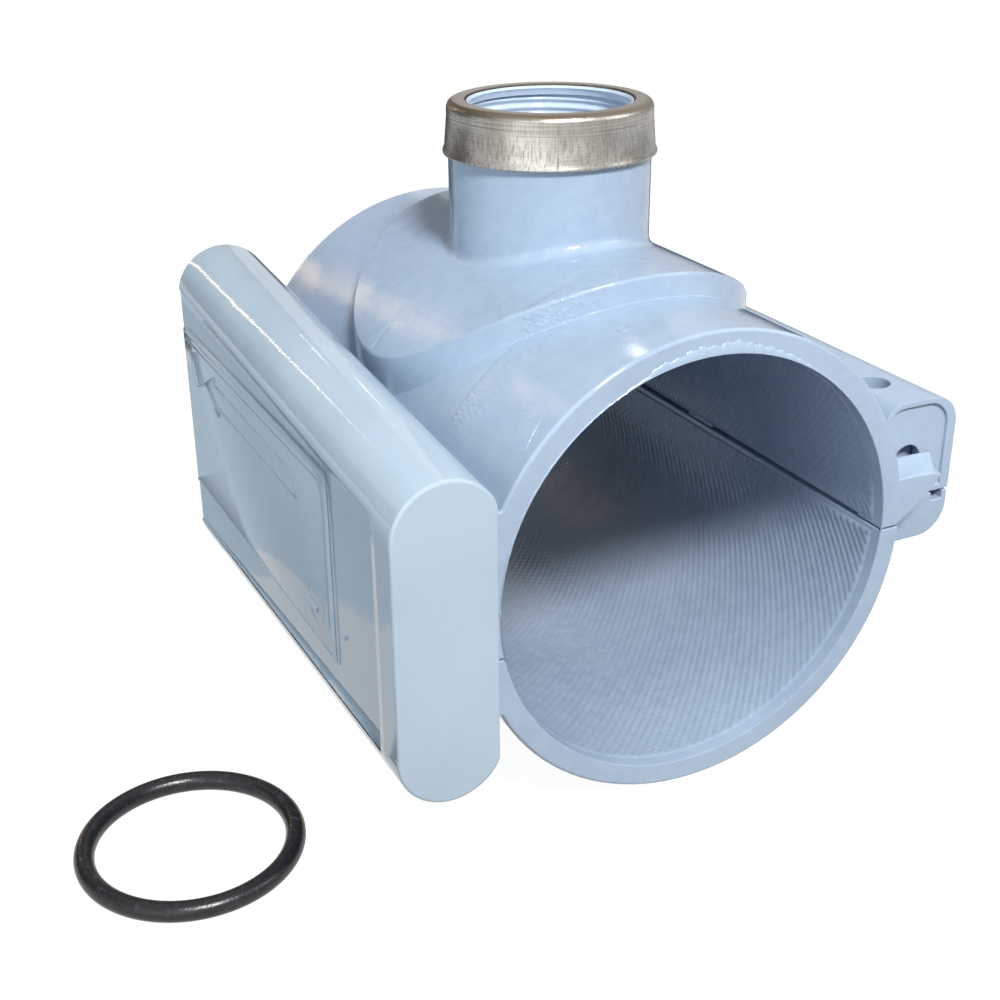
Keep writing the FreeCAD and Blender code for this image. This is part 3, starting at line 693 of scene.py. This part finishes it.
def arrow():
    """The outlined arrow that shows the way the wedge is driven on, and the bar ahead of it."""
    raised("wedge_arrow", [(ARROW_TAIL, ARROW_LOW), (ARROW_NECK, ARROW_LOW),
                           (ARROW_NECK - 2, ARROW_LOW - 2.4), (ARROW_TIP, ARROW_MIDDLE),
                           (ARROW_NECK + 0.9, ARROW_HIGH + 2.3),
                           (ARROW_NECK + 0.5, ARROW_HIGH), (ARROW_TAIL, ARROW_HIGH)],
           RIDGE_WIDTH, closed=True)
    raised("wedge_bar", [(77.8, 22.0), (71.8, 12.6)], RIDGE_WIDTH)


def moulding_marks():
    """The mould's round mark with its block, and a speck of flash."""
    raised("wedge_round_mark", arc((-33.0, -13.0), 6.0, 0, 345, 24), LINE_WIDTH)
    raised("wedge_block_mark", [(-27.0, -15.0), (-34.5, -15.0)], 1.8, 0.2)
    raised("wedge_speck", [(-54.0, -13.2), (-54.8, -13.3)], 0.9, 0.1)


panel()
arrow()
moulding_marks()


# Flash and marks that the mould leaves on the shells

# Widths of the torn film round the near end of the bore, at turns in degrees
FLASH_WIDTHS = [(-2, 0.3), (28, 0.35), (29, 0.9), (30.5, 0.35), (56, 0.5), (69, 1.6), (80, 2.6), (84.7, 3.4),
                (88.7, 2.5), (94, 2.9), (96.8, 2.5), (99.5, 1.9), (104.8, 2.2), (109, 0.8), (116, 0.45),
                (158, 0.5), (161, 0.9), (164, 0.6), (177, 0.35), (178, 1.0), (179.5, 0.4), (192, 0.3)]
FLASH_RISE = 0.3                                 # the film's thickness
FLASH_STEPS = 480
EJECTOR_MARK = Vector((-15.5, -68.2, 61.4))      # a round mark of the mould on the near end
EJECTOR_RADIUS = 1.5
EJECTOR_WIDTH = 0.35
NEAR_RADIUS = 63.4                               # the near end's outside
PARTING_WIDTH = 0.25


def bore_flash():
    """The film itself, from inside the bore over its thickness to its torn outer edge."""
    first, last = FLASH_WIDTHS[0][0], FLASH_WIDTHS[-1][0]

    def film(across, along):
        turn = first + (last - first) * along
        tear = 0.12 * math.sin(turn * 1.9) + 0.08 * math.sin(turn * 5.3)
        width = between(FLASH_WIDTHS, turn) * (1 + tear)
        section = ((0.0, 0.6), (0.0, 0.0), (0.12, -1.0), (width - 0.25, -0.8), (width, 0.2))
        out, rise = section[round(across * 4)]
        radius = BORE_RADIUS - 0.06 + max(out, 0.0)
        angle = math.radians(turn)
        return radius * math.cos(angle), NEAR_FACE + FLASH_RISE * rise, radius * math.sin(angle)

    piece = face_out(sheet("bore_flash", 4, FLASH_STEPS, film))
    return finished(smooth(piece, crease=60), "saddle", SHELL)


def parting_line(name, points):
    return finished(bead(name, points, PARTING_WIDTH), "saddle", SHELL)


def ejector_mark():
    around = math.atan2(EJECTOR_MARK.z, EJECTOR_MARK.x)
    points = []
    for along, across in arc((0, 0), EJECTOR_RADIUS, 0, 345, 23):
        turn = around + across / NEAR_RADIUS
        points.append((NEAR_RADIUS * math.cos(turn), EJECTOR_MARK.y + along, NEAR_RADIUS * math.sin(turn)))
    piece = bead("ejector_mark", points, EJECTOR_WIDTH, closed=True)
    return finished(piece, "saddle", SHELL)


bore_flash()
parting_line("pad_parting_line", [(-48.7, -0.5, 49.7), (-52.1, -0.7, 46.1), (-55.3, -0.9, 42.3)])
parting_line("far_parting_line", [(-43.0, 84.2, 46.6), (-46.5, 82.0, 43.1), (-49.8, 79.8, 39.3)])
parting_line("near_parting_line", [(-41.0, -76.9, 48.3), (-44.9, -78.7, 44.7), (-48.6, -80.5, 40.7)])
ejector_mark()


# Rubber ring

def rubber_ring():
    reach = (RING_HIGH[0] - RING_LOW[0]) / 2
    thickness = (RING_HIGH[2] - RING_LOW[2]) / 2
    centre = [(low + high) / 2 for low, high in zip(RING_LOW, RING_HIGH)]
    bpy.ops.mesh.primitive_torus_add(location=centre, major_radius=reach - thickness, minor_radius=thickness,
                                     major_segments=160, minor_segments=32)
    piece = settle(named("rubber_ring"))
    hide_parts("o_ring")
    return finished(smooth(piece, crease=60), "saddle", RUBBER)


rubber_ring()


# Floor and background, white where they are seen

FLOOR_SIZE = 12.0                                # metres
FLOOR_DROP = 0.05                                # under the ring, millimetres
SEEN_SHARE = 0.8                                 # how far the floor glows where it is seen, over its shadows
SEEN_GLOW = 1.19
FLOOR_LIT, FLOOR_SEEN = 0.12, 0.8                # the floor's grey where it lights and where it is seen
GLOSS_WHITE = 0.8                                # the background where gloss shows it
SKY_START = 0.45                                 # height of direction at which the lit sky starts


def bare_nodes(owner):
    nodes = Nodes(owner)
    nodes.tree.nodes.clear()
    return nodes


def pale_floor():
    bpy.ops.mesh.primitive_plane_add(size=FLOOR_SIZE, location=(0, 0, (FLOOR - FLOOR_DROP) * MM))
    floor = named("floor")
    material = bpy.data.materials.new("floor")
    nodes = bare_nodes(material)
    camera_ray = nodes.seen_by("Is Camera Ray")
    share = camera_ray.most(nodes.seen_by("Is Glossy Ray")) * SEEN_SHARE
    tone = FLOOR_LIT + (FLOOR_SEEN - FLOOR_LIT) * camera_ray
    matt = nodes.node("ShaderNodeBsdfDiffuse", {}, {"Color": tone})
    glow = nodes.node("ShaderNodeEmission", {}, {"Strength": SEEN_GLOW})
    nodes.node("ShaderNodeOutputMaterial", {}, {"Surface": nodes.blend(share, matt, glow)})
    floor.data.materials.append(material)


def world(strength, tint):
    """White where the camera sees it, paler grey where gloss does, and a dimmer blue sky where it lights."""
    surroundings = bpy.data.worlds.new("studio")
    bpy.context.scene.world = surroundings
    nodes = bare_nodes(surroundings)
    camera_ray = nodes.seen_by("Is Camera Ray")
    shown = camera_ray.most(nodes.seen_by("Is Glossy Ray")).most(nodes.seen_by("Is Transmission Ray"))
    level = GLOSS_WHITE + (1 - GLOSS_WHITE) * camera_ray
    white = nodes.node("ShaderNodeBackground", {}, {"Color": (1, 1, 1, 1), "Strength": level})
    way = nodes.node("ShaderNodeTexCoord", {}, {}, "Generated")
    up = nodes.node("ShaderNodeSeparateXYZ", {}, {0: way}, "Z")
    sky = nodes.node("ShaderNodeBackground", {}, {"Color": (*tint, 1),
                                                  "Strength": up.ramp(SKY_START, 1.0) * strength})
    nodes.node("ShaderNodeOutputWorld", {}, {"Surface": nodes.blend(shown, sky, white)})


# Lamps, and cards that only reflections see

def direction(heading, height):
    """The way to a compass heading from +Y towards +X, and a height over the horizon, in degrees."""
    h, e = math.radians(heading), math.radians(height)
    return Vector((math.sin(h) * math.cos(e), math.cos(h) * math.cos(e), math.sin(e)))


def soft_light(name, place, power, size, tall, colour, aim=(0, 0, 0)):
    """An area lamp that faces a point, with places in metres and power in watts."""
    lamp = bpy.data.lights.new(name, "AREA")
    lamp.shape = "ELLIPSE"
    lamp.size = size
    lamp.size_y = tall
    lamp.energy = power
    lamp.color = colour
    item = bpy.data.objects.new(name, lamp)
    bpy.context.collection.objects.link(item)
    item.location = place
    item.rotation_euler = (Vector(aim) - Vector(place)).to_track_quat("-Z", "Y").to_euler()
    return item


def lamp_at(name, heading, height, power, size, tall, colour, distance=2.0):
    """A lamp at a heading and a height, which faces the upper part of the saddle."""
    return soft_light(name, direction(heading, height) * distance, power, size, tall, colour, (0, 0, 0.04))


def studio_card(name, shade, tint, place, across, along):
    """A card that gives gloss and metal something darker or brighter to show."""
    card = sheet(name, across, along, place)
    material = bpy.data.materials.new(name)
    nodes = bare_nodes(material)
    glow = nodes.node("ShaderNodeEmission", {}, {"Color": (*tint, 1), "Strength": shade})
    nodes.node("ShaderNodeOutputMaterial", {}, {"Surface": glow})
    card.data.materials.append(material)
    card.visible_camera = False
    card.visible_diffuse = False
    card.visible_transmission = False
    card.visible_shadow = False


def floor_card(name, start, end, near, far, shade, tint=(1, 1, 1)):
    """A card just over the floor, between two headings and two distances in millimetres."""
    def place(across, along):
        away = direction(start + (end - start) * across, 0) * (near + (far - near) * along)
        return away.x, away.y, FLOOR + 1.0
    studio_card(name, shade, tint, place, 24, 2)


def back_card(name, start, end, low, high, shade, tint=(1, 1, 1), distance=1500.0):
    """A standing card between two headings and two heights over the horizon."""
    def place(across, along):
        return direction(start + (end - start) * across, low + (high - low) * along) * distance
    studio_card(name, shade, tint, place, 24, 12)


DAYLIGHT = (0.97, 0.98, 1.0)

pale_floor()
world(0.55, (0.9, 0.95, 1.0))
lamp_at("key", heading=187.0, height=47.0, power=19.5, size=0.26, tall=0.26, colour=(0.99, 0.99, 1.0),
        distance=1.3)
low_front = soft_light("low_front", (0.05, -1.1, 0.15), power=1.25, size=0.4, tall=0.4, colour=DAYLIGHT)
low_front.visible_glossy = False
left = soft_light("left", (-1.1, -0.3, 0.3), power=5.6, size=0.8, tall=0.8, colour=(0.84, 0.93, 1.0))
left.visible_glossy = False
soft_light("right", (0.9, -0.6, 0.7), power=2.4, size=0.6, tall=0.6, colour=DAYLIGHT)
lamp_at("warm_tube", heading=-18.5, height=22.0, power=0.75, size=0.02, tall=0.9, colour=(1.0, 0.7, 0.38))
lamp_at("ceiling_lamp_1", heading=12.0, height=30.0, power=0.03, size=0.03, tall=0.03, colour=(1, 1, 1))
lamp_at("ceiling_lamp_2", heading=25.0, height=23.0, power=0.03, size=0.03, tall=0.03, colour=(1, 1, 1))
back_card("bright_card", 200, 248, low=-14, high=34, shade=1.65)
back_card("grey_left_card", 248, 300, low=-14, high=20, shade=0.8)
back_card("dark_left_card", 300, 336, low=-9, high=14, shade=0.04, tint=(1.0, 0.9, 0.8))
back_card("grey_right_card", 34, 160, low=-14, high=18, shade=0.5)
back_card("brown_card", -75, 18, low=-4, high=48, shade=0.28, tint=(1.0, 0.9, 0.82), distance=2400.0)
floor_card("dark_bore_card", 346, 410, near=90.0, far=2300.0, shade=0.03)
floor_card("blue_floor_card", 282, 345, near=130.0, far=800.0, shade=0.9, tint=(0.7, 0.85, 1.0))


# Camera at the photograph's angle

AZIMUTH, ELEVATION, ROLL = -25.90, 24.78, -0.48      # degrees
DISTANCE = 443.97                                    # millimetres
AIM_RIGHT, AIM_UP = 14.34, 13.93                     # the bore's centre in the camera's plane, millimetres
LENS, FILM = 53.08, 36.0


def camera():
    a, e, r = (math.radians(turn) for turn in (AZIMUTH, ELEVATION, ROLL))
    back = Vector((math.sin(a) * math.cos(e), -math.cos(a) * math.cos(e), math.sin(e)))
    level = Vector((math.cos(a), math.sin(a), 0))
    upright = back.cross(level)
    right = level * math.cos(r) + upright * math.sin(r)
    up = upright * math.cos(r) - level * math.sin(r)
    place = (back * DISTANCE - right * AIM_RIGHT - up * AIM_UP) * MM
    lens = bpy.data.cameras.new("camera")
    lens.lens = LENS
    lens.sensor_width = FILM
    lens.clip_start = 0.01
    item = bpy.data.objects.new("camera", lens)
    bpy.context.collection.objects.link(item)
    item.matrix_world = Matrix.Translation(place) @ Matrix((right, up, back)).transposed().to_4x4()
    bpy.context.scene.camera = item


camera()
bpy.context.scene.view_settings.view_transform = "Standard"
